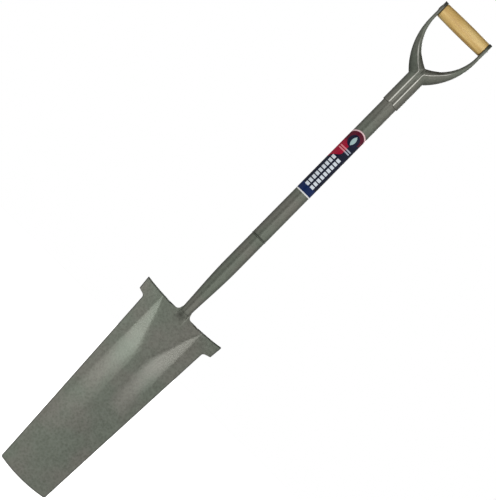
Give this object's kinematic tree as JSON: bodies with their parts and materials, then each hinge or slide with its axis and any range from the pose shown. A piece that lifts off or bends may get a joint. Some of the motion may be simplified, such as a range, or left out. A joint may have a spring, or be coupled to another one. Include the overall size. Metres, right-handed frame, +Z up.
{
  "type": "draining spade",
  "caption": "Long narrow trough-bladed spade with foot treads, a tapered socket on a steel tube shaft and a split steel yoke with a wooden crosspiece.",
  "frame": {"origin": "middle of the wooden crosspiece, where the spade is held and hung, on the axis of the shaft", "axes": "+Z up along the shaft towards the grip end, -Y out of the hollow front of the blade, +X to the right seen from that front, along the crosspiece"},
  "size_m": [0.178, 0.0605, 1.1156],
  "materials": {
    "enamel": "hammered grey-green metallic enamel over steel",
    "wood": "turned pale hardwood, clear varnish",
    "label_film": "printed gloss film"
  },
  "bodies": {
    "root": {"blade": "enamel", "socket": "enamel", "joint_weld": "enamel", "shaft_tube": "enamel", "label": "label_film", "yoke_left": "enamel", "yoke_right": "enamel", "grip": "wood", "grip_rivet": "enamel"}
  },
  "joints": []
}
